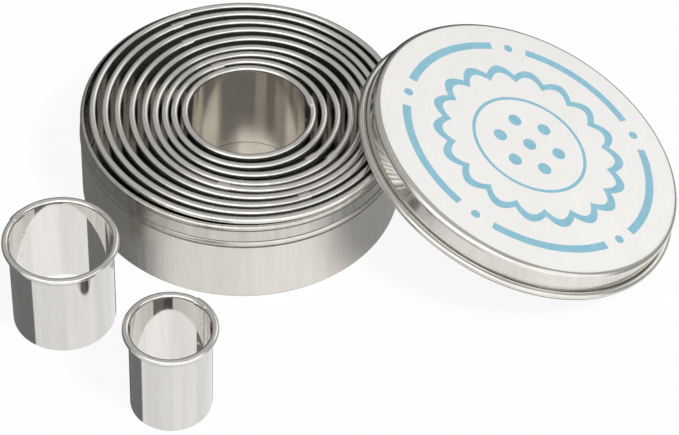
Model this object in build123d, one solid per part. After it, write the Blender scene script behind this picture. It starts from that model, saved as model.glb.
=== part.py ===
from build123d import *
import math
import os

# A boxed set of plain round biscuit cutters, in millimetres.
# Origin: centre of the tin's base, on the table. +Z is up and the lid leans on the +X side.

# Cutters, from the smallest (1) to the largest
CUTTER_COUNT = 11
LOOSE_COUNT = 2
CUTTER_H = 31.75
SMALLEST_BAND_D = 23.4
SIZE_STEP = 6.84
STRIP_T = 0.3
CURL_D = 2.1
CURL_MOUTH = 0.12
LAP_LENGTH = 3.5
LAP_BITE = 0.06
LAP_COVER_RISE = 0.05
WELD_D = 1.7
WELD_RISE = 0.1
WELD_HEIGHT_SHARES = [0.47, 0.74]

# Where each cutter's lap seam starts, in degrees about its own axis, smallest first
SEAM_ANGLES = [41, 142, 11, 115, 312, 322, 255, 125, 295, 123, 117]

# Tin
TIN_T = 0.35
TIN_PLAY = 1.55
TIN_CORNER_R = 0.6
BODY_STEP = 0.15
NECK_H = 6.4
BEAD_RISE = 0.6
BEAD_H = 2.2
RIM_TURN_R = 0.8
RIM_TURN_DEG = 75
RIM_GAP = 0.3
SEAT_GAP = 0.1

# Lid
LID_T = 0.35
LID_PLAY = 0.6
LID_HEAD_GAP = 0.1
LID_CURL_D = 2.4
LID_SHOULDER_R = 1.9

# How the set lies: the gaps are between bodies, the angles are about the tin's axis
MOVE_GAP = 0.3
LEAN_GAP = 0.15
STEEPEST_LEAN_DEG = 60
LEAN_STEP_DEG = 0.02
LOOSE_ANGLES = [261.3, 231.0]
LOOSE_GAPS = [27.75, 9.65]
LID_REACH_SHARE = 0.85
LID_ANGLE = -2.5

# How far each nested cutter has slid in the one around it, as shares of its free play, largest first
TIN_SHIFT_SHARE = (0.674, -0.378)
NEST_SHIFT_SHARES = [
    (0.48, -0.30),
    (0.42, -0.20),
    (0.83, -0.45),
    (0.59, -0.38),
    (-0.24, -0.69),
    (-0.50, 0.22),
    (-0.68, -0.06),
    (-0.23, 0.51),
]

# Worked out from the sizes above
SPIRAL = STRIP_T - LAP_BITE
COVER_RISE = SPIRAL + LAP_COVER_RISE
CURL_R = CURL_D / 2
LID_CURL_R = LID_CURL_D / 2
HALF_TURN = 180
FULL_TURN = 360


def band_inner_r(number):
    return (SMALLEST_BAND_D + (number - 1) * SIZE_STEP) / 2 - STRIP_T


def rim_r(number):
    return band_inner_r(number) + CURL_D


TIN_H = TIN_T + SEAT_GAP + CUTTER_H - CURL_D - RIM_GAP
TIN_NECK_R = rim_r(CUTTER_COUNT) + TIN_PLAY
TIN_BODY_R = TIN_NECK_R + BODY_STEP
TIN_BEAD_R = TIN_NECK_R + BEAD_RISE
BEAD_Z = TIN_H - NECK_H
LID_INNER_R = TIN_BEAD_R + LID_PLAY
LID_WALL_R = LID_INNER_R + LID_T
LID_RIM_R = LID_INNER_R + LID_CURL_D
LID_H = TIN_T + SEAT_GAP + CUTTER_H + COVER_RISE + LID_HEAD_GAP + LID_T - BEAD_Z


def curl_end_deg(sheet, curl_d, mouth):
    """Angle, down from the curl's outer side, at which the sheet's raw edge stops short of the wall."""
    return math.degrees(math.acos(2 * (sheet + mouth) / curl_d - 1))


def rolled_wall(inner_r, height, sheet, curl_d, mouth):
    """Section of an upright wall whose top is rolled outwards and down into a hollow curl."""
    centre_r = inner_r + curl_d / 2
    centre_z = height - curl_d / 2
    sweep = -(HALF_TURN + curl_end_deg(sheet, curl_d, mouth))
    with BuildSketch(Plane.XZ) as section:
        with BuildLine():
            outer = CenterArc((centre_r, centre_z), curl_d / 2, HALF_TURN, sweep)
            inner = CenterArc((centre_r, centre_z), curl_d / 2 - sheet, HALF_TURN, sweep)
            Line(outer @ 1, inner @ 1)
            Polyline(inner @ 0, (inner_r + sheet, 0), (inner_r, 0), outer @ 0)
        make_face()
    return section.sketch


def lap_cover(inner_r):
    """Section of the layer that wraps the curl where the strip's two ends overlap."""
    centre = (inner_r + CURL_R, CUTTER_H - CURL_R)
    sweep = -(HALF_TURN + curl_end_deg(STRIP_T + COVER_RISE, CURL_D + 2 * COVER_RISE, CURL_MOUTH))
    with BuildSketch(Plane.XZ) as section:
        with BuildLine():
            outer = CenterArc(centre, CURL_R + COVER_RISE, HALF_TURN, sweep)
            inner = CenterArc(centre, CURL_R - LAP_BITE, HALF_TURN, sweep)
            Line(outer @ 1, inner @ 1)
            Line(outer @ 0, inner @ 0)
        make_face()
    return section.sketch


def lap_strip(inner_r):
    """Section of the strip's outer end, which lies on the layer under it."""
    height = CUTTER_H - CURL_D - COVER_RISE - CURL_MOUTH
    with BuildSketch(Plane.XZ) as section:
        with Locations((inner_r + SPIRAL, 0)):
            Rectangle(STRIP_T, height, align=(Align.MIN, Align.MIN))
    return section.sketch


def cutter(number):
    """One strip, bent into a ring on two centres so that its end lies over its start, then welded.

    The ring's own frame has the seam at +X. The first half turn is about the ring's axis. The
    second is about a centre half the spiral away, so it comes back outside the strip's start.
    """
    inner_r = band_inner_r(number)
    lap_deg = math.degrees(LAP_LENGTH / inner_r)
    wall = rolled_wall(inner_r, CUTTER_H, STRIP_T, CURL_D, CURL_MOUTH)
    centre_shift = SPIRAL / 2
    first_half = revolve(wall, Axis.Z, HALF_TURN)
    far_wall = Rot(0, 0, HALF_TURN) * wall
    shifted_axis = Axis((centre_shift, 0, 0), (0, 0, 1))
    second_half = revolve(far_wall, shifted_axis, HALF_TURN)
    outer_end = revolve(lap_strip(inner_r), Axis.Z, lap_deg)
    cover = revolve(lap_cover(inner_r), Axis.Z, lap_deg)
    ring = first_half + second_half + outer_end + cover
    for share in WELD_HEIGHT_SHARES:
        spot = Cylinder(WELD_D / 2, STRIP_T + WELD_RISE, align=(Align.CENTER, Align.CENTER, Align.MAX))
        spot = Pos(inner_r + STRIP_T, 0, share * CUTTER_H) * Rot(0, 90, 0) * spot
        ring += Rot(0, 0, lap_deg / 2) * spot
    return Rot(0, 0, SEAM_ANGLES[number - 1]) * ring


def tin():
    """One drawn cup: flat base, straight body, swelled bead that stops the lid, neck, in-turned rim."""
    bead_low = BEAD_Z - BEAD_H / 2
    bead_high = BEAD_Z + BEAD_H / 2
    turn_z = TIN_H - RIM_TURN_R * math.sin(math.radians(RIM_TURN_DEG))
    turn_x = TIN_NECK_R - RIM_TURN_R
    body_in = TIN_BODY_R - TIN_T
    neck_in = TIN_NECK_R - TIN_T
    corner_x = TIN_BODY_R - TIN_CORNER_R
    with BuildSketch(Plane.XZ) as section:
        with BuildLine():
            Line((0, TIN_T), (0, 0))
            Line((0, 0), (corner_x, 0))
            CenterArc((corner_x, TIN_CORNER_R), TIN_CORNER_R, -90, 90)
            Line((TIN_BODY_R, TIN_CORNER_R), (TIN_BODY_R, bead_low))
            ThreePointArc((TIN_BODY_R, bead_low), (TIN_BEAD_R, BEAD_Z), (TIN_NECK_R, bead_high))
            Line((TIN_NECK_R, bead_high), (TIN_NECK_R, turn_z))
            turn_out = CenterArc((turn_x, turn_z), RIM_TURN_R, 0, RIM_TURN_DEG)
            turn_in = CenterArc((turn_x, turn_z), RIM_TURN_R - TIN_T, 0, RIM_TURN_DEG)
            Line(turn_out @ 1, turn_in @ 1)
            Line((neck_in, turn_z), (neck_in, bead_high))
            ThreePointArc((neck_in, bead_high), (TIN_BEAD_R - TIN_T, BEAD_Z), (body_in, bead_low))
            Line((body_in, bead_low), (body_in, TIN_CORNER_R))
            CenterArc((corner_x, TIN_CORNER_R), TIN_CORNER_R - TIN_T, -90, 90)
            Line((corner_x, TIN_T), (0, TIN_T))
        make_face()
    return revolve(section.sketch, Axis.Z, FULL_TURN)


def lid():
    """One drawn cap, open downwards, its open edge rolled outwards and up. Z = 0 is the open edge."""
    shoulder_x = LID_WALL_R - LID_SHOULDER_R
    shoulder_z = LID_H - LID_SHOULDER_R
    sweep = HALF_TURN + curl_end_deg(LID_T, LID_CURL_D, CURL_MOUTH)
    curl_centre = (LID_INNER_R + LID_CURL_R, LID_CURL_R)
    with BuildSketch(Plane.XZ) as section:
        with BuildLine():
            outer = CenterArc(curl_centre, LID_CURL_R, HALF_TURN, sweep)
            inner = CenterArc(curl_centre, LID_CURL_R - LID_T, HALF_TURN, sweep)
            Line(outer @ 1, inner @ 1)
            Line(inner @ 0, (LID_WALL_R, shoulder_z))
            CenterArc((shoulder_x, shoulder_z), LID_SHOULDER_R, 0, 90)
            Polyline((shoulder_x, LID_H), (0, LID_H), (0, LID_H - LID_T), (shoulder_x, LID_H - LID_T))
            CenterArc((shoulder_x, shoulder_z), LID_SHOULDER_R - LID_T, 90, -90)
            Line((LID_INNER_R, shoulder_z), outer @ 0)
        make_face()
    return revolve(section.sketch, Axis.Z, FULL_TURN)


def polar(radius, angle_deg):
    angle = math.radians(angle_deg)
    return radius * math.cos(angle), radius * math.sin(angle)


def nested_places():
    """Centre of each nested cutter, by number: each has slid a little inside the next larger one."""
    tin_play = TIN_NECK_R - RIM_TURN_R - band_inner_r(CUTTER_COUNT) - 2 * STRIP_T - MOVE_GAP
    x = TIN_SHIFT_SHARE[0] * tin_play
    y = TIN_SHIFT_SHARE[1] * tin_play
    places = {CUTTER_COUNT: (x, y)}
    play = SIZE_STEP / 2 - CURL_D - MOVE_GAP
    for step, (share_x, share_y) in enumerate(NEST_SHIFT_SHARES):
        x += share_x * play
        y += share_y * play
        places[CUTTER_COUNT - 1 - step] = (x, y)
    return places


def loose_places():
    """Centre of each loose cutter, by number: it stands on the table, a gap away from the tin."""
    places = {}
    for index in range(LOOSE_COUNT):
        reach = TIN_BEAD_R + LOOSE_GAPS[index] + rim_r(index + 1)
        places[index + 1] = polar(reach, LOOSE_ANGLES[index])
    return places


def curl_clearance(tilt_deg, lid_x, lid_y, obstacle):
    """Gap between the leaning lid's curl and a level ring, given as centre, radius and wire radius."""
    ring_x, ring_y, ring_z, ring_r, wire_r = obstacle
    tilt = math.radians(tilt_deg)
    curl_circle_r = LID_INNER_R + LID_CURL_R
    centre_z = LID_CURL_R + curl_circle_r * math.sin(tilt)
    nearest = math.inf
    for degree in range(FULL_TURN):
        along, across = polar(curl_circle_r, degree)
        x = lid_x + along * math.cos(tilt) - ring_x
        y = lid_y + across - ring_y
        z = centre_z - along * math.sin(tilt) - ring_z
        nearest = min(nearest, math.hypot(math.hypot(x, y) - ring_r, z))
    return nearest - LID_CURL_R - wire_r


def lean_tilt(lid_x, lid_y, obstacles):
    """Least tilt at which the lid stands on the table and its curl just clears what it leans on."""
    tilt = STEEPEST_LEAN_DEG
    while tilt > 0 and all(curl_clearance(tilt, lid_x, lid_y, ring) > LEAN_GAP for ring in obstacles):
        tilt -= LEAN_STEP_DEG
    return tilt + LEAN_STEP_DEG


NESTED_PLACES = nested_places()
LOOSE_PLACES = loose_places()
NESTED_Z = TIN_T + SEAT_GAP
LID_X, LID_Y = polar(LID_REACH_SHARE * (TIN_NECK_R + LID_WALL_R), LID_ANGLE)
LEANED_ON = [
    (
        *NESTED_PLACES[CUTTER_COUNT],
        NESTED_Z + CUTTER_H - CURL_R,
        band_inner_r(CUTTER_COUNT) + CURL_R,
        CURL_R,
    ),
    (0, 0, BEAD_Z, TIN_NECK_R, BEAD_RISE),
]
LID_TILT = lean_tilt(LID_X, LID_Y, LEANED_ON)
LEAN = math.radians(LID_TILT)
CURL_CENTRE_Z = LID_CURL_R + (LID_INNER_R + LID_CURL_R) * math.sin(LEAN)
LID_ORIGIN = (
    LID_X - LID_CURL_R * math.sin(LEAN),
    LID_Y,
    CURL_CENTRE_Z - LID_CURL_R * math.cos(LEAN),
)


def build():
    """Every piece, by node name, where it lies in the set."""
    pieces = {"tin_body": tin()}
    pieces["lid"] = Pos(*LID_ORIGIN) * Rot(0, LID_TILT, 0) * lid()
    for number in range(1, CUTTER_COUNT + 1):
        if number in LOOSE_PLACES:
            place = Pos(*LOOSE_PLACES[number], 0)
        else:
            place = Pos(*NESTED_PLACES[number], NESTED_Z)
        pieces[f"cutter_{number:02d}"] = place * cutter(number)
    return pieces


if __name__ == "__main__":
    os.makedirs("parts", exist_ok=True)
    for node, shape in build().items():
        export_step(shape, f"parts/{node}.step")
    print(f"tin {TIN_H:.2f} high, neck radius {TIN_NECK_R:.2f}; lid {LID_H:.2f} high, rim radius {LID_RIM_R:.2f}")
    print(f"lid tilt {LID_TILT:.2f} degrees, origin {LID_ORIGIN}")
    print("nested places", NESTED_PLACES)
    print("loose places", LOOSE_PLACES)
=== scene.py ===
import math

import bpy
from mathutils import Matrix, Vector


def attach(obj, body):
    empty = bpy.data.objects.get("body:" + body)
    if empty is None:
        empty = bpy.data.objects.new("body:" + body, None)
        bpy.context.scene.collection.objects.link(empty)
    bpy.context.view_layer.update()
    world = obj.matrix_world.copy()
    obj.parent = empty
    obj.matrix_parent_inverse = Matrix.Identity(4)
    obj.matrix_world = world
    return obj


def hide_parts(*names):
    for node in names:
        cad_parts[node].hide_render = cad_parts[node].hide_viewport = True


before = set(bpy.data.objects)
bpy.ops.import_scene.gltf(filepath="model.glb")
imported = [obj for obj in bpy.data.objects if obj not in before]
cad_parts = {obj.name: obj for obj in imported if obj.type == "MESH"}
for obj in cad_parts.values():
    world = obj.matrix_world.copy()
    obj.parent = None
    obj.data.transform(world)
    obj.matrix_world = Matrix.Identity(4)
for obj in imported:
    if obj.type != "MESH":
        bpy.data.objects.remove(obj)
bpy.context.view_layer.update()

# A boxed set of plain round cutters: a drawn tin, its lid and eleven rolled steel rings.
# Sizes are in millimetres, as in the solid model, and become metres when a mesh is made.
MM = 0.001
QUARTER_TURN = 90
HALF_TURN = 180
FULL_TURN = 360

# Cutters
CUTTER_COUNT = 11
LOOSE_COUNT = 2
CUTTER_H = 31.75
SMALLEST_BAND_D = 23.4
SIZE_STEP = 6.84
STRIP_T = 0.3
CURL_D = 2.1
CURL_MOUTH = 0.12
LAP_LENGTH = 3.5
LAP_BITE = 0.06
LAP_COVER_RISE = 0.05
WELD_D = 1.7
WELD_RISE = 0.08
WELD_HEIGHT_SHARES = [0.47, 0.74]
WELD_RING_SHARES = [0, 0.45, 0.75, 0.9, 1.0]
WELD_RISE_SHARES = [0.25, 0.25, 0.9, 0.8, -0.3]
SEAM_ANGLES = [41, 142, 11, 115, 312, 322, 255, 125, 295, 123, 117]

# Tin
TIN_T = 0.35
TIN_PLAY = 1.55
TIN_CORNER_R = 0.6
BODY_STEP = 0.15
NECK_H = 6.4
BEAD_RISE = 0.6
RIM_TURN_R = 0.8
RIM_GAP = 0.3
SEAT_GAP = 0.1

# The tin's bead, creases and rim as shown: a smaller bead and a wider turn than the solid's
BEAD_SHOWN_DROP = 0.7
BEAD_SHOWN_RISE = 0.28
BEAD_SHOWN_H = 1.75
CREASE_W = 0.5
CREASE_DEPTH = 0.35
RIM_SHOWN_R = 1.25
RIM_SHOWN_DEG = 84

# Lid
LID_T = 0.35
LID_PLAY = 0.6
LID_HEAD_GAP = 0.1
LID_CURL_D = 2.4
LID_SHOULDER_R = 1.9

# How the set lies: each nested cutter is off centre by a share of the play around it
MOVE_GAP = 0.3
LOOSE_ANGLES = [261.3, 231.0]
LOOSE_GAPS = [27.75, 9.65]
LID_TILT_DEG = 19.56
LID_ORIGIN = (84.5598, -3.7095, 17.3614)
TIN_SHIFT_SHARE = (0.674, -0.378)
NEST_SHIFT_SHARES = [
    (0.48, -0.30),
    (0.42, -0.20),
    (0.83, -0.45),
    (0.59, -0.38),
    (-0.24, -0.69),
    (-0.50, 0.22),
    (-0.68, -0.06),
    (-0.23, 0.51),
]

# Worked out from the sizes above
SPIRAL = STRIP_T - LAP_BITE
COVER_RISE = SPIRAL + LAP_COVER_RISE
CURL_R = CURL_D / 2
LID_CURL_R = LID_CURL_D / 2


def band_inner_r(number):
    return (SMALLEST_BAND_D + (number - 1) * SIZE_STEP) / 2 - STRIP_T


def rim_r(number):
    return band_inner_r(number) + CURL_D


TIN_H = TIN_T + SEAT_GAP + CUTTER_H - CURL_D - RIM_GAP
TIN_NECK_R = rim_r(CUTTER_COUNT) + TIN_PLAY
TIN_BODY_R = TIN_NECK_R + BODY_STEP
TIN_BEAD_R = TIN_NECK_R + BEAD_RISE
BEAD_Z = TIN_H - NECK_H
LID_INNER_R = TIN_BEAD_R + LID_PLAY
LID_WALL_R = LID_INNER_R + LID_T
LID_H = TIN_T + SEAT_GAP + CUTTER_H + COVER_RISE + LID_HEAD_GAP + LID_T - BEAD_Z

# Mesh fineness
RING_STEPS = 240
LATHE_STEPS = 320
CURL_STEPS = 30
INSIDE_STEPS = 12
LAP_STEPS = 30
WELD_STEPS = 24
DISC_ROWS = 6
POLE_R = 0.01
SUPPORT = 0.25
WALL_STEPS = 4
SMOOTH_BELOW_DEG = 32

# Camera, worked out from the photograph
CAMERA_PLACE = (31.438, -532.166, 543.571)
CAMERA_PITCH_DEG = 46.332
CAMERA_ROLL_DEG = 3.4742
FOCAL_PX = 2430.94
CENTRE_PX = (339.852, 215.512)
IMAGE_PX = (679, 435)

# Camera settings that the photograph doesn't give
SENSOR_MM = 36
CLIP_NEAR_M = 0.05
CLIP_FAR_M = 20


# Profiles: lists of (radius, height) points

def arc_points(centre, radius, start_deg, sweep_deg, steps):
    points = []
    for step in range(steps + 1):
        angle = math.radians(start_deg + sweep_deg * step / steps)
        points.append((centre[0] + radius * math.cos(angle), centre[1] + radius * math.sin(angle)))
    return points


def wall_points(start, end):
    """A straight side with a row of points close to each end, so that it shades as straight."""
    length = math.dist(start, end)
    near = min(SUPPORT / length, 1 / (WALL_STEPS + 1))
    shares = [near] + [step / WALL_STEPS for step in range(1, WALL_STEPS)] + [1 - near]
    return [tuple(a + (b - a) * share for a, b in zip(start, end)) for share in shares]


def curl_end_deg(sheet, curl_d, mouth):
    return math.degrees(math.acos(2 * (sheet + mouth) / curl_d - 1))


def curl_section(inner_r, height):
    """The strip's section: an upright wall whose top is rolled outwards and down."""
    centre = (inner_r + CURL_R, height - CURL_R)
    sweep = -(HALF_TURN + curl_end_deg(STRIP_T, CURL_D, CURL_MOUTH))
    outer = arc_points(centre, CURL_R, HALF_TURN, sweep, CURL_STEPS)
    inner = arc_points(centre, CURL_R - STRIP_T, HALF_TURN, sweep, INSIDE_STEPS)
    points = [(inner_r, 0)]
    points += wall_points((inner_r, 0), outer[0])
    points += outer
    points += inner[::-1]
    points += wall_points(inner[0], (inner_r + STRIP_T, 0))
    points += [(inner_r + STRIP_T, 0)]
    return points


def cover_section(inner_r):
    """The layer of the strip's outer end that wraps the curl."""
    centre = (inner_r + CURL_R, CUTTER_H - CURL_R)
    sweep = -(HALF_TURN + curl_end_deg(STRIP_T + COVER_RISE, CURL_D + 2 * COVER_RISE, CURL_MOUTH))
    outer = arc_points(centre, CURL_R + COVER_RISE, HALF_TURN, sweep, CURL_STEPS)
    inner = arc_points(centre, CURL_R - LAP_BITE, HALF_TURN, sweep, CURL_STEPS)
    return outer + inner[::-1]


def lap_section(inner_r):
    height = CUTTER_H - CURL_D - COVER_RISE - CURL_MOUTH
    near = inner_r + SPIRAL
    far = near + STRIP_T
    return [(near, 0), (near, height), (far, height)] + wall_points((far, height), (far, 0)) + [(far, 0)]


# Meshes

# Each material's place in the meshes of the cutters, the tin and the lid
STRIP, STRIP_OUTSIDE = range(2)
BODY, INSIDE, CREASE, NECK = range(4)
WALL, PANEL = range(2)


def marked(kinds, faces):
    """Material index of each swept face, from one index for each of the section's points."""
    return [kinds[index % len(kinds)] for index in range(len(faces))]


def new_object(name, verts, faces, materials, material_of=None):
    mesh = bpy.data.meshes.new(name)
    mesh.from_pydata([tuple(value * MM for value in vert) for vert in verts], [], faces)
    for material in materials:
        mesh.materials.append(material)
    if material_of:
        for polygon, index in zip(mesh.polygons, material_of):
            polygon.material_index = index
    mesh.validate()
    mesh.shade_smooth()
    mesh.set_sharp_from_angle(angle=math.radians(SMOOTH_BELOW_DEG))
    piece = bpy.data.objects.new(name, mesh)
    bpy.context.scene.collection.objects.link(piece)
    return piece


def sweep(section, stations, closed):
    """A closed section carried through stations of (centre x, angle in degrees, extra radius)."""
    verts, faces = [], []
    count = len(section)
    for centre_x, angle_deg, extra in stations:
        angle = math.radians(angle_deg)
        for radius, height in section:
            reach = radius + extra
            verts.append((centre_x + reach * math.cos(angle), reach * math.sin(angle), height))
    rows = len(stations)
    for row in range(rows if closed else rows - 1):
        low = row * count
        high = (row + 1) % rows * count
        for point in range(count):
            after = (point + 1) % count
            faces.append((low + point, high + point, high + after, low + after))
    if not closed:
        faces.append(tuple(range(count)))
        faces.append(tuple(rows * count - 1 - point for point in range(count)))
    return verts, faces


def joined(parts):
    verts, faces = [], []
    for part_verts, part_faces in parts:
        start = len(verts)
        verts += part_verts
        faces += [tuple(index + start for index in face) for face in part_faces]
    return verts, faces


def outside_marks(section, faces):
    """Marks the outside of the upright wall, whose points and the one before them end the section."""
    wall = len(wall_points((0, 0), (0, CUTTER_H))) + 1
    return marked([STRIP] * (len(section) - 1 - wall) + [STRIP_OUTSIDE] * wall + [STRIP], faces)


def weld_spot(inner_r, angle_deg, height):
    """A shallow pad with a raised edge where the welder pressed the lap together."""
    verts, faces = [], []
    for ring_share, rise_share in zip(WELD_RING_SHARES, WELD_RISE_SHARES):
        for step in range(WELD_STEPS):
            turn = 2 * math.pi * step / WELD_STEPS
            side = ring_share * WELD_D / 2 * math.cos(turn)
            up = ring_share * WELD_D / 2 * math.sin(turn)
            angle = math.radians(angle_deg) + side / inner_r
            reach = inner_r - WELD_RISE * rise_share
            verts.append((reach * math.cos(angle), reach * math.sin(angle), height + up))
    for row in range(len(WELD_RING_SHARES) - 1):
        low = row * WELD_STEPS
        high = low + WELD_STEPS
        for step in range(WELD_STEPS):
            after = (step + 1) % WELD_STEPS
            faces.append((low + step, high + step, high + after, low + after))
    return verts, faces


def cutter(number, place, metal, outside_metal):
    """A ring of strip whose second half turn opens outwards, so that its end laps over its start."""
    inner_r = band_inner_r(number)
    lap_deg = math.degrees(LAP_LENGTH / inner_r)
    shift = SPIRAL / 2
    half = RING_STEPS // 2
    stations = [(0, HALF_TURN * step / half, 0) for step in range(half)]
    stations += [(shift, HALF_TURN + HALF_TURN * step / half, shift) for step in range(half + 1)]
    lap_stations = [(0, lap_deg * step / LAP_STEPS, 0) for step in range(LAP_STEPS + 1)]
    ring_section = curl_section(inner_r, CUTTER_H)
    ring = sweep(ring_section, stations, closed=False)
    lap = sweep(lap_section(inner_r), lap_stations, closed=False)
    marks = outside_marks(ring_section, ring[1]) + [STRIP_OUTSIDE] * len(lap[1])
    parts = [ring, lap, sweep(cover_section(inner_r), lap_stations, closed=False)]
    for share in WELD_HEIGHT_SHARES:
        parts.append(weld_spot(inner_r, lap_deg / 2, share * CUTTER_H))
    verts, faces = joined(parts)
    turn = Matrix.Rotation(math.radians(SEAM_ANGLES[number - 1]), 4, "Z")
    move = Matrix.Translation(place) @ turn
    verts = [tuple(move @ Vector(vert)) for vert in verts]
    marks += [STRIP] * (len(faces) - len(marks))
    piece = new_object(f"cutter_{number:02d}_ring", verts, faces, [metal, outside_metal], marks)
    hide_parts(f"cutter_{number:02d}")
    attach(piece, f"cutter_{number:02d}")


def lathe(section, steps):
    stations = [(0, FULL_TURN * step / steps, 0) for step in range(steps)]
    return sweep(section, stations, closed=True)


def disc_rows(inner_r, outer_r, height):
    """Points across a flat floor or panel, from the middle out."""
    return [(inner_r + (outer_r - inner_r) * row / DISC_ROWS, height) for row in range(DISC_ROWS + 1)]


def swelling(low, high, rise, steps):
    """Points up a wall that bulges by the rise half way between two points."""
    points = []
    for step in range(steps + 1):
        share = step / steps
        swell = rise * math.sin(math.pi * share)
        points.append((low[0] + (high[0] - low[0]) * share + swell, low[1] + (high[1] - low[1]) * share))
    return points


def crease(radius, low):
    """A narrow line pressed into the wall, without its end point."""
    return [(radius, low), (radius - CREASE_DEPTH, low + CREASE_W / 2)]


def tin(metal, inside_shade_metal, crease_shade_metal, neck_metal):
    bead_low = BEAD_Z - BEAD_SHOWN_DROP - BEAD_SHOWN_H / 2
    bead_high = bead_low + BEAD_SHOWN_H
    body_in = TIN_BODY_R - TIN_T
    neck_in = TIN_NECK_R - TIN_T
    corner_x = TIN_BODY_R - TIN_CORNER_R
    corner = (corner_x, TIN_CORNER_R)
    turn = (TIN_NECK_R - RIM_SHOWN_R, TIN_H - RIM_SHOWN_R)
    out = disc_rows(POLE_R, corner_x, 0)
    out += arc_points(corner, TIN_CORNER_R, -QUARTER_TURN, QUARTER_TURN, INSIDE_STEPS)[1:]
    out += wall_points((TIN_BODY_R, TIN_CORNER_R), (TIN_BODY_R, bead_low - CREASE_W))
    creases = [len(out)]
    out += crease(TIN_BODY_R, bead_low - CREASE_W)
    out += swelling((TIN_BODY_R, bead_low), (TIN_NECK_R, bead_high), BEAD_SHOWN_RISE, CURL_STEPS)[:-1]
    creases.append(len(out))
    out += crease(TIN_NECK_R, bead_high)
    neck_first = len(out)
    out.append((TIN_NECK_R, bead_high + CREASE_W))
    out += wall_points((TIN_NECK_R, bead_high + CREASE_W), (TIN_NECK_R, turn[1] - CREASE_W))
    creases.append(len(out))
    out += crease(TIN_NECK_R, turn[1] - CREASE_W)
    out += arc_points(turn, RIM_SHOWN_R, 0, RIM_SHOWN_DEG, INSIDE_STEPS)
    inner = arc_points(turn, RIM_SHOWN_R - TIN_T, RIM_SHOWN_DEG, -RIM_SHOWN_DEG, INSIDE_STEPS)
    inner += wall_points((neck_in, turn[1]), (neck_in, bead_high))
    inner += swelling((neck_in, bead_high), (body_in, bead_low), BEAD_SHOWN_RISE, CURL_STEPS)
    inner += wall_points((body_in, bead_low), (body_in, TIN_CORNER_R))
    inner += arc_points(corner, TIN_CORNER_R - TIN_T, 0, -QUARTER_TURN, INSIDE_STEPS)[:-1]
    inner += disc_rows(POLE_R, corner_x, TIN_T)[::-1]
    kinds = [BODY] * neck_first + [NECK] * (len(out) - neck_first) + [INSIDE] * len(inner)
    # The creases' faces take the dark painted shade
    for first in creases:
        kinds[first] = CREASE
        kinds[first + 1] = CREASE
    verts, faces = lathe(out + inner, LATHE_STEPS)
    metals = [metal, inside_shade_metal, crease_shade_metal, neck_metal]
    piece = new_object("tin_drawn_cup", verts, faces, metals, marked(kinds, faces))
    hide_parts("tin_body")
    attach(piece, "tin")


# From the lid's own frame, upright and open side down, to where it leans
LID_MOVE = Matrix.Translation(LID_ORIGIN) @ Matrix.Rotation(math.radians(LID_TILT_DEG), 4, "Y")


def lid(metal, panel_metal):
    shoulder_x = LID_WALL_R - LID_SHOULDER_R
    shoulder_z = LID_H - LID_SHOULDER_R
    shoulder = (shoulder_x, shoulder_z)
    sweep_deg = HALF_TURN + curl_end_deg(LID_T, LID_CURL_D, CURL_MOUTH)
    centre = (LID_INNER_R + LID_CURL_R, LID_CURL_R)
    outer = arc_points(centre, LID_CURL_R, HALF_TURN, sweep_deg, CURL_STEPS)
    inner = arc_points(centre, LID_CURL_R - LID_T, HALF_TURN, sweep_deg, CURL_STEPS)
    section = disc_rows(POLE_R, shoulder_x, LID_H - LID_T)
    section += arc_points(shoulder, LID_SHOULDER_R - LID_T, QUARTER_TURN, -QUARTER_TURN, INSIDE_STEPS)[1:]
    section += wall_points((LID_INNER_R, shoulder_z), outer[0])
    section += outer
    section += inner[::-1]
    section += wall_points(inner[0], (LID_WALL_R, shoulder_z))
    section += arc_points(shoulder, LID_SHOULDER_R, 0, QUARTER_TURN, CURL_STEPS)
    panel = disc_rows(POLE_R, shoulder_x, LID_H)[::-1]
    kinds = [WALL] * (len(section) - 1) + [PANEL] * (len(panel) - 1) + [WALL]
    section += panel[1:]
    verts, faces = lathe(section, LATHE_STEPS)
    verts = [tuple(LID_MOVE @ Vector(vert)) for vert in verts]
    piece = new_object("lid_drawn_cap", verts, faces, [metal, panel_metal], marked(kinds, faces))
    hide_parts("lid")
    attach(piece, "lid")


# The lid's print: a made-up biscuit figure inside a broken ring, in light blue ink
INK_T = 0.02
RING_SHARE = 0.83
RING_WIDTH_SHARE = 0.055
RING_PIECES = 5
RING_GAP_DEG = 17
RING_TURN_DEG = 28
SCALLOPS = 18
SCALLOP_SHARE = 0.56
SCALLOP_DEPTH_SHARE = 0.07
SCALLOP_WIDTH_SHARE = 0.06
INNER_RING_SHARE = 0.38
INNER_RING_WIDTH_SHARE = 0.022
DOT_SHARE = 0.045
DOT_RING_SHARES = [0, 0.2]
DOT_RING_COUNTS = [1, 6]
GAP_DOT_SHARE = 0.03
RING_PIECE_STEPS = 40
INNER_RING_STEPS = 160
STEPS_PER_SCALLOP = 16
DOT_STEPS = 40


def ribbon(inner, outer, closed):
    """A flat printed band between two rows of (x, y) points, as thick as the ink."""
    verts, faces = [], []
    low = LID_H
    high = LID_H + INK_T
    for (ix, iy), (ox, oy) in zip(inner, outer):
        verts += [(ix, iy, high), (ox, oy, high), (ox, oy, low), (ix, iy, low)]
    rows = len(inner)
    corners = len(verts) // rows
    for row in range(rows if closed else rows - 1):
        here = corners * row
        there = corners * ((row + 1) % rows)
        for side in range(corners):
            after = (side + 1) % corners
            faces.append((here + side, here + after, there + after, there + side))
    if not closed:
        faces.append(tuple(reversed(range(corners))))
        faces.append(tuple(range(len(verts) - corners, len(verts))))
    return verts, faces


def ring_points(radius_at, start_deg, sweep_deg, steps):
    points = []
    for step in range(steps):
        angle = math.radians(start_deg + sweep_deg * step / (steps - 1))
        reach = radius_at(angle)
        points.append((reach * math.cos(angle), reach * math.sin(angle)))
    return points


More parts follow.
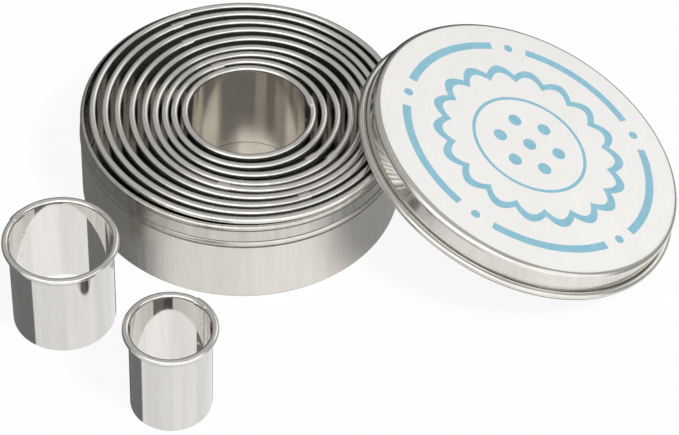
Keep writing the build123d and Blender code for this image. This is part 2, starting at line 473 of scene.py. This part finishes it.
def closed_band(radius_at, width, steps):
    sweep_deg = FULL_TURN * (steps - 1) / steps
    inner = ring_points(lambda angle: radius_at(angle) - width / 2, 0, sweep_deg, steps)
    outer = ring_points(lambda angle: radius_at(angle) + width / 2, 0, sweep_deg, steps)
    return ribbon(inner, outer, closed=True)


def dot(x, y, radius):
    verts = []
    for height in (LID_H + INK_T, LID_H):
        for step in range(DOT_STEPS):
            turn = 2 * math.pi * step / DOT_STEPS
            verts.append((x + radius * math.cos(turn), y + radius * math.sin(turn), height))
    faces = [tuple(range(DOT_STEPS)), tuple(range(2 * DOT_STEPS - 1, DOT_STEPS - 1, -1))]
    for step in range(DOT_STEPS):
        after = (step + 1) % DOT_STEPS
        faces.append((step, DOT_STEPS + step, DOT_STEPS + after, after))
    return verts, faces


def lid_print(ink):
    panel_r = LID_WALL_R - LID_SHOULDER_R
    parts = []
    ring_r = RING_SHARE * panel_r
    half_width = RING_WIDTH_SHARE * panel_r / 2
    pitch = FULL_TURN / RING_PIECES
    for piece_index in range(RING_PIECES):
        start = RING_TURN_DEG + piece_index * pitch + RING_GAP_DEG / 2
        span = pitch - RING_GAP_DEG
        inner = ring_points(lambda angle: ring_r - half_width, start, span, RING_PIECE_STEPS)
        outer = ring_points(lambda angle: ring_r + half_width, start, span, RING_PIECE_STEPS)
        parts.append(ribbon(inner, outer, closed=False))
        middle = math.radians(start - RING_GAP_DEG / 2)
        parts.append(dot(ring_r * math.cos(middle), ring_r * math.sin(middle), GAP_DOT_SHARE * panel_r))
    depth = SCALLOP_DEPTH_SHARE * panel_r

    def scalloped(angle):
        return SCALLOP_SHARE * panel_r + depth * abs(math.sin(SCALLOPS * angle / 2))

    def inner_ring(angle):
        return INNER_RING_SHARE * panel_r

    parts.append(closed_band(scalloped, SCALLOP_WIDTH_SHARE * panel_r, STEPS_PER_SCALLOP * SCALLOPS))
    parts.append(closed_band(inner_ring, INNER_RING_WIDTH_SHARE * panel_r, INNER_RING_STEPS))
    for ring_share, count in zip(DOT_RING_SHARES, DOT_RING_COUNTS):
        for step in range(count):
            turn = 2 * math.pi * step / count
            x = ring_share * panel_r * math.cos(turn)
            y = ring_share * panel_r * math.sin(turn)
            parts.append(dot(x, y, DOT_SHARE * panel_r))
    verts, faces = joined(parts)
    verts = [tuple(LID_MOVE @ Vector(vert)) for vert in verts]
    piece = new_object("lid_print", verts, faces, [ink])
    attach(piece, "lid")


# Materials
NOISE_DETAIL = 3
NOISE_ROUGHNESS = 0.5
NOISE_LOW = 0.3
NOISE_HIGH = 0.7


class Nodes:
    """Short names for making a node tree."""

    def __init__(self, tree):
        self.tree = tree
        tree.nodes.clear()

    def add(self, kind, **values):
        node = self.tree.nodes.new(kind)
        for name, value in values.items():
            setattr(node, name, value)
        return node

    def link(self, source, target):
        self.tree.links.new(source, target)

    def math(self, operation, *values):
        node = self.add("ShaderNodeMath", operation=operation)
        for socket, value in zip(node.inputs, values):
            if isinstance(value, (int, float)):
                socket.default_value = value
            else:
                self.link(value, socket)
        return node.outputs[0]

    def noise(self, scale):
        """Noise over the object's own coordinates, with its own scale along each axis, per metre."""
        place = self.add("ShaderNodeTexCoord")
        mapping = self.add("ShaderNodeMapping")
        mapping.inputs["Scale"].default_value = scale
        self.link(place.outputs["Object"], mapping.inputs["Vector"])
        texture = self.add("ShaderNodeTexNoise")
        texture.inputs["Scale"].default_value = 1.0
        texture.inputs["Detail"].default_value = NOISE_DETAIL
        texture.inputs["Roughness"].default_value = NOISE_ROUGHNESS
        self.link(mapping.outputs["Vector"], texture.inputs["Vector"])
        return texture.outputs[0]

    def spread(self, value, low, high):
        """Maps noise, which keeps near its middle, to a range."""
        node = self.add("ShaderNodeMapRange")
        node.inputs["From Min"].default_value = NOISE_LOW
        node.inputs["From Max"].default_value = NOISE_HIGH
        node.inputs["To Min"].default_value = low
        node.inputs["To Max"].default_value = high
        self.link(value, node.inputs["Value"])
        return node.outputs[0]

    def mix_shaders(self, share, first, second):
        node = self.add("ShaderNodeMixShader")
        self.link(share, node.inputs[0])
        self.link(first.outputs[0], node.inputs[1])
        self.link(second.outputs[0], node.inputs[2])
        return node

    def blend_colours(self, factor, first, second):
        node = self.add("ShaderNodeMix", data_type="RGBA")
        for socket in node.inputs:
            if socket.name == "A" and socket.type == "RGBA":
                socket.default_value = (*first, 1)
            if socket.name == "B" and socket.type == "RGBA":
                socket.default_value = (*second, 1)
        self.link(factor, node.inputs[0])
        return next(socket for socket in node.outputs if socket.type == "RGBA")


def new_material(name):
    """A material with its node maker and an output that nothing feeds yet."""
    material = bpy.data.materials.new(name)
    material.use_nodes = True
    nodes = Nodes(material.node_tree)
    return material, nodes, nodes.add("ShaderNodeOutputMaterial")


def surface(name, colours, colour_scale, roughness, rough_scale, bumps, metallic=1.0, brushed=0.0):
    """A finish from named values: two colours, a range of roughness, and bumps of (scale, height).

    A brushed finish has fine upright lines, which spread what it mirrors sideways.
    """
    material, nodes, output = new_material(name)
    shader = nodes.add("ShaderNodeBsdfPrincipled")
    nodes.link(shader.outputs[0], output.inputs["Surface"])
    shader.inputs["Metallic"].default_value = metallic
    if brushed:
        shader.inputs["Anisotropic"].default_value = brushed
        around = nodes.add("ShaderNodeTangent", direction_type="RADIAL", axis="Z")
        nodes.link(around.outputs[0], shader.inputs["Tangent"])
    tint = nodes.spread(nodes.noise(colour_scale), 0, 1)
    nodes.link(nodes.blend_colours(tint, *colours), shader.inputs["Base Color"])
    nodes.link(nodes.spread(nodes.noise(rough_scale), *roughness), shader.inputs["Roughness"])
    normal = None
    for scale, height in bumps:
        bump = nodes.add("ShaderNodeBump")
        bump.inputs["Strength"].default_value = 1.0
        bump.inputs["Distance"].default_value = height * MM
        nodes.link(nodes.noise(scale), bump.inputs["Height"])
        if normal:
            nodes.link(normal, bump.inputs["Normal"])
        normal = bump.outputs["Normal"]
    if normal:
        nodes.link(normal, shader.inputs["Normal"])
    return material


CUTTER_METAL = surface(
    "polished_steel_strip",
    colours=((0.71, 0.69, 0.655), (0.76, 0.74, 0.705)),
    colour_scale=(400, 400, 30),
    roughness=(0.03, 0.075),
    rough_scale=(900, 900, 60),
    bumps=[((260, 260, 12), 0.006), ((2200, 2200, 120), 0.0006)],
    metallic=0.95,
)
CUTTER_OUTSIDE = surface(
    "steel_strip_outside",
    colours=((0.63, 0.612, 0.58), (0.68, 0.662, 0.63)),
    colour_scale=(400, 400, 30),
    roughness=(0.05, 0.10),
    rough_scale=(900, 900, 60),
    bumps=[((260, 260, 12), 0.006), ((2200, 2200, 120), 0.0006)],
    metallic=0.95,
)
TIN_METAL = surface(
    "drawn_tin_satin",
    colours=((0.65, 0.626, 0.572), (0.70, 0.675, 0.62)),
    colour_scale=(260, 260, 30),
    roughness=(0.24, 0.32),
    rough_scale=(1400, 1400, 60),
    bumps=[((700, 700, 18), 0.0002), ((3000, 3000, 300), 0.0001)],
    brushed=0.7,
)
# The neck, in a darker tone than the body
TIN_NECK = surface(
    "drawn_tin_neck",
    colours=((0.51, 0.49, 0.45), (0.62, 0.60, 0.55)),
    colour_scale=(420, 420, 24),
    roughness=(0.22, 0.30),
    rough_scale=(1400, 1400, 60),
    bumps=[((700, 700, 18), 0.0004), ((3000, 3000, 300), 0.0001)],
    brushed=0.7,
)
# Painted shade: the creases pressed into the tin are coloured dark, for the shade that gathers in them
TIN_CREASE_SHADE = surface(
    "tin_crease_painted_shade",
    colours=((0.17, 0.16, 0.145), (0.24, 0.23, 0.21)),
    colour_scale=(260, 260, 30),
    roughness=(0.35, 0.45),
    rough_scale=(1400, 1400, 60),
    bumps=[((700, 700, 18), 0.0002)],
)
# Painted shade: the tin's inside is coloured darker than its outside, for the shade in its well
TIN_INSIDE_SHADE = surface(
    "tin_inside_painted_shade",
    colours=((0.41, 0.385, 0.34), (0.47, 0.445, 0.395)),
    colour_scale=(150, 150, 150),
    roughness=(0.15, 0.22),
    rough_scale=(600, 600, 600),
    bumps=[((300, 300, 300), 0.001)],
)
LID_METAL = surface(
    "drawn_lid_bright",
    colours=((0.67, 0.65, 0.605), (0.72, 0.70, 0.655)),
    colour_scale=(500, 500, 60),
    roughness=(0.09, 0.15),
    rough_scale=(1200, 1200, 90),
    bumps=[((420, 420, 30), 0.0002)],
)
PANEL_METAL = surface(
    "lid_panel_satin",
    colours=((0.775, 0.767, 0.747), (0.80, 0.792, 0.772)),
    colour_scale=(60, 60, 60),
    roughness=(0.20, 0.27),
    rough_scale=(2400, 300, 300),
    bumps=[((3000, 500, 500), 0.0008)],
    metallic=0.78,
)
INK = surface(
    "light_blue_ink",
    colours=((0.20, 0.445, 0.555), (0.26, 0.50, 0.60)),
    colour_scale=(300, 300, 300),
    roughness=(0.35, 0.5),
    rough_scale=(1500, 1500, 1500),
    bumps=[((4000, 4000, 4000), 0.001)],
    metallic=0.0,
)


# Pieces

def nested_places():
    tin_play = TIN_NECK_R - RIM_TURN_R - band_inner_r(CUTTER_COUNT) - 2 * STRIP_T - MOVE_GAP
    x = TIN_SHIFT_SHARE[0] * tin_play
    y = TIN_SHIFT_SHARE[1] * tin_play
    places = {CUTTER_COUNT: (x, y)}
    play = SIZE_STEP / 2 - CURL_D - MOVE_GAP
    for step, (share_x, share_y) in enumerate(NEST_SHIFT_SHARES):
        x += share_x * play
        y += share_y * play
        places[CUTTER_COUNT - 1 - step] = (x, y)
    return places


def loose_place(index):
    reach = TIN_BEAD_R + LOOSE_GAPS[index] + rim_r(index + 1)
    angle = math.radians(LOOSE_ANGLES[index])
    return reach * math.cos(angle), reach * math.sin(angle)


tin(TIN_METAL, TIN_INSIDE_SHADE, TIN_CREASE_SHADE, TIN_NECK)
lid(LID_METAL, PANEL_METAL)
lid_print(INK)
for nested_number, nested_place in nested_places().items():
    cutter(nested_number, (*nested_place, TIN_T + SEAT_GAP), CUTTER_METAL, CUTTER_OUTSIDE)
for loose_index in range(LOOSE_COUNT):
    cutter(loose_index + 1, (*loose_place(loose_index), 0), CUTTER_METAL, CUTTER_OUTSIDE)


# Stage: a white table, a room for the metal to mirror, and one soft lamp

FLOOR_SIDE = 3000
FLOOR_DROP = 0.05
FLOOR_SHADOW_SHARE = 0.09
FLOOR_COLOUR = (0.9, 0.9, 0.9)
SUN_STRENGTH = 2.2
SUN_SOFT_DEG = 14
SUN_AZIMUTH_DEG = -40
SUN_ELEVATION_DEG = 55
AMBIENT = 0.45

# The studio that the metal mirrors, by direction: grey with soft boxes above the table, and below it
# the lit sheet that everything stands on, with darker places.
# Each patch is (azimuth, elevation, half width, half height, edge, amount), in degrees but the last.
STUDIO_ABOVE = 0.5
STUDIO_BELOW = 1.0
STUDIO_DARKEST = 0.05
HORIZON_EDGE_DEG = 2
PATCHES_ABOVE = [
    (0, 90, 360, 22, 20, 0.1),
    (-107, 24, 38, 26, 22, 0.7),
    (-104, 40, 34, 10, 6, 0.8),
    (-36, 10, 20, 28, 12, 0.8),
    (48, 29, 16, 11, 10, 0.7),
    (92, 2, 30, 20, 12, -0.28),
    (150, 0, 50, 8, 10, -0.25),
]
PATCHES_BELOW = [
    (113, -30, 29, 40, 12, -0.93),
    (30, -8, 45, 14, 8, -0.6),
    (224, -8, 26, 14, 8, -0.5),
    (-45, -45, 28, 60, 14, 0.1),
    (0, -90, 360, 22, 8, -0.6),
]

# Painted shadow: a dark card to the left, seen only in the metal, for the shade on the table beside each
# piece; near enough that each piece shows its edge at its own angle
CARD_X = -140
CARD_FRONT = -115
CARD_BACK = 250
CARD_LOW = -250
CARD_TOP = 50
CARD_SHADOW_LEVEL = 0.19

# The lid's shade on the table, which only the metal shows
SHADE_CENTRE = (75, -9)
SHADE_R = 62
SHADE_EDGE_SHARE = 0.55
SHADE_LEVEL = 0.3
SHADE_SHARE = 0.9
SHADE_HEIGHT = 0.02

# A square's corners, and its one face
SQUARE = ((-1, -1), (1, -1), (1, 1), (-1, 1))
SQUARE_FACE = [(0, 1, 2, 3)]


def only_mirrored(piece):
    """Keeps a piece of the stage out of sight, but for the metal that mirrors it."""
    piece.visible_camera = False
    piece.visible_diffuse = False
    piece.visible_shadow = False


def lid_shade():
    """A soft dark disc under the lid that shows only in the metal."""
    x, y = SHADE_CENTRE
    square = [(side_x * SHADE_R, side_y * SHADE_R, 0) for side_x, side_y in SQUARE]
    material, nodes, output = new_material("lid_shade")
    reach = nodes.add("ShaderNodeVectorMath", operation="LENGTH")
    nodes.link(nodes.add("ShaderNodeTexCoord").outputs["Object"], reach.inputs[0])
    fade = nodes.add("ShaderNodeMapRange", interpolation_type="SMOOTHSTEP")
    fade.inputs["From Min"].default_value = SHADE_R * SHADE_EDGE_SHARE * MM
    fade.inputs["From Max"].default_value = SHADE_R * MM
    fade.inputs["To Min"].default_value = SHADE_SHARE
    fade.inputs["To Max"].default_value = 0
    nodes.link(reach.outputs["Value"], fade.inputs["Value"])
    glow = nodes.add("ShaderNodeEmission")
    glow.inputs["Strength"].default_value = SHADE_LEVEL
    clear = nodes.add("ShaderNodeBsdfTransparent")
    nodes.link(nodes.mix_shaders(fade.outputs[0], clear, glow).outputs[0], output.inputs["Surface"])
    disc = new_object("lid_shade", square, SQUARE_FACE, [material])
    disc.location = Vector((x, y, SHADE_HEIGHT - FLOOR_DROP)) * MM
    only_mirrored(disc)


def shadow_card():
    """Stands beside the table and shows only in the metal, as painted shadow."""
    corners = ((CARD_FRONT, CARD_LOW), (CARD_BACK, CARD_LOW), (CARD_BACK, CARD_TOP), (CARD_FRONT, CARD_TOP))
    material, nodes, output = new_material("painted_shadow_card")
    glow = nodes.add("ShaderNodeEmission")
    glow.inputs["Strength"].default_value = CARD_SHADOW_LEVEL
    nodes.link(glow.outputs[0], output.inputs["Surface"])
    panel = new_object("painted_shadow_card", [(CARD_X, y, z) for y, z in corners], SQUARE_FACE, [material])
    only_mirrored(panel)


def floor():
    """A white table with a faint shadow. The metal looks through it to the studio's lit sheet."""
    verts = [(x * FLOOR_SIDE / 2, y * FLOOR_SIDE / 2, -FLOOR_DROP) for x, y in SQUARE]
    material, nodes, output = new_material("white_table")
    table = nodes.add("ShaderNodeBsdfDiffuse")
    table.inputs["Color"].default_value = (*FLOOR_COLOUR, 1)
    white = nodes.add("ShaderNodeEmission")
    white.inputs["Color"].default_value = (1, 1, 1, 1)
    clear = nodes.add("ShaderNodeBsdfTransparent")
    path = nodes.add("ShaderNodeLightPath")
    share = nodes.math("MULTIPLY", path.outputs["Is Camera Ray"], 1 - FLOOR_SHADOW_SHARE)
    plain = nodes.mix_shaders(share, table, white)
    mirrored = nodes.math("MAXIMUM", path.outputs["Is Glossy Ray"], path.outputs["Is Transmission Ray"])
    nodes.link(nodes.mix_shaders(mirrored, plain, clear).outputs[0], output.inputs["Surface"])
    new_object("white_table", verts, SQUARE_FACE, [material])


def studio():
    """White behind everything, even light on matt surfaces, and the mirrored room for the metal."""
    world = bpy.data.worlds.new("studio")
    world.use_nodes = True
    bpy.context.scene.world = world
    nodes = Nodes(world.node_tree)
    output = nodes.add("ShaderNodeOutputWorld")
    axes = nodes.add("ShaderNodeSeparateXYZ")
    nodes.link(nodes.add("ShaderNodeTexCoord").outputs["Generated"], axes.inputs[0])
    azimuth = nodes.math("ARCTAN2", axes.outputs["Y"], axes.outputs["X"])
    elevation = nodes.math("ARCSINE", axes.outputs["Z"])

    def within(angle, middle_deg, half_deg, edge_deg):
        """1 within half_deg of the middle, falling to 0 over the edge outside it."""
        apart = nodes.math("SUBTRACT", angle, math.radians(middle_deg))
        apart = nodes.math("WRAP", apart, math.pi, -math.pi)
        apart = nodes.math("ABSOLUTE", apart)
        ramp = nodes.add("ShaderNodeMapRange", interpolation_type="SMOOTHSTEP")
        ramp.inputs["From Min"].default_value = math.radians(half_deg)
        ramp.inputs["From Max"].default_value = math.radians(half_deg + edge_deg)
        ramp.inputs["To Min"].default_value = 1
        ramp.inputs["To Max"].default_value = 0
        nodes.link(apart, ramp.inputs["Value"])
        return ramp.outputs[0]

    def region(level, patches):
        for around, up, half_around, half_up, edge, amount in patches:
            patch = nodes.math(
                "MULTIPLY",
                within(azimuth, around, half_around, edge),
                within(elevation, up, half_up, edge),
            )
            level = nodes.math("MULTIPLY_ADD", patch, amount, level)
        return nodes.math("MAXIMUM", level, STUDIO_DARKEST)

    above = region(STUDIO_ABOVE, PATCHES_ABOVE)
    below = region(STUDIO_BELOW, PATCHES_BELOW)
    over_table = nodes.add("ShaderNodeMapRange", interpolation_type="SMOOTHSTEP")
    over_table.inputs["From Min"].default_value = -math.radians(HORIZON_EDGE_DEG)
    over_table.inputs["From Max"].default_value = math.radians(HORIZON_EDGE_DEG)
    nodes.link(elevation, over_table.inputs["Value"])
    rise = nodes.math("SUBTRACT", above, below)
    level = nodes.math("MULTIPLY_ADD", over_table.outputs[0], rise, below)
    path = nodes.add("ShaderNodeLightPath")
    seen = nodes.math("MAXIMUM", path.outputs["Is Glossy Ray"], path.outputs["Is Transmission Ray"])
    reflected = nodes.math("MULTIPLY", seen, level)
    rest = nodes.math("SUBTRACT", 1, nodes.math("MAXIMUM", seen, path.outputs["Is Camera Ray"]))
    ambient = nodes.math("MULTIPLY", rest, AMBIENT)
    total = nodes.math("ADD", nodes.math("ADD", reflected, ambient), path.outputs["Is Camera Ray"])
    background = nodes.add("ShaderNodeBackground")
    background.inputs["Color"].default_value = (1, 1, 1, 1)
    nodes.link(total, background.inputs["Strength"])
    nodes.link(background.outputs[0], output.inputs["Surface"])


def lamp():
    data = bpy.data.lights.new("key_lamp", "SUN")
    data.energy = SUN_STRENGTH
    data.angle = math.radians(SUN_SOFT_DEG)
    sun = bpy.data.objects.new("key_lamp", data)
    azimuth = math.radians(SUN_AZIMUTH_DEG)
    elevation = math.radians(SUN_ELEVATION_DEG)
    flat = math.cos(elevation)
    toward = Vector((math.cos(azimuth) * flat, math.sin(azimuth) * flat, math.sin(elevation)))
    sun.rotation_euler = toward.to_track_quat("Z", "Y").to_euler()
    sun.location = toward
    sun.visible_glossy = False
    bpy.context.scene.collection.objects.link(sun)


def camera():
    pitch = math.radians(CAMERA_PITCH_DEG)
    roll = math.radians(CAMERA_ROLL_DEG)
    forward = Vector((0, math.cos(pitch), -math.sin(pitch)))
    up = Vector((0, math.sin(pitch), math.cos(pitch)))
    side = Vector((1, 0, 0))
    right = math.cos(roll) * side + math.sin(roll) * up
    top = -math.sin(roll) * side + math.cos(roll) * up
    data = bpy.data.cameras.new("camera")
    data.sensor_width = SENSOR_MM
    data.lens = FOCAL_PX / IMAGE_PX[0] * SENSOR_MM
    data.shift_x = (IMAGE_PX[0] / 2 - CENTRE_PX[0]) / IMAGE_PX[0]
    data.shift_y = (CENTRE_PX[1] - IMAGE_PX[1] / 2) / IMAGE_PX[0]
    data.clip_start = CLIP_NEAR_M
    data.clip_end = CLIP_FAR_M
    eye = bpy.data.objects.new("camera", data)
    matrix = Matrix((right, top, -forward)).transposed().to_4x4()
    matrix.translation = Vector(CAMERA_PLACE) * MM
    eye.matrix_world = matrix
    bpy.context.scene.collection.objects.link(eye)
    bpy.context.scene.camera = eye


floor()
lid_shade()
shadow_card()
studio()
lamp()
camera()
bpy.context.scene.view_settings.view_transform = "Standard"
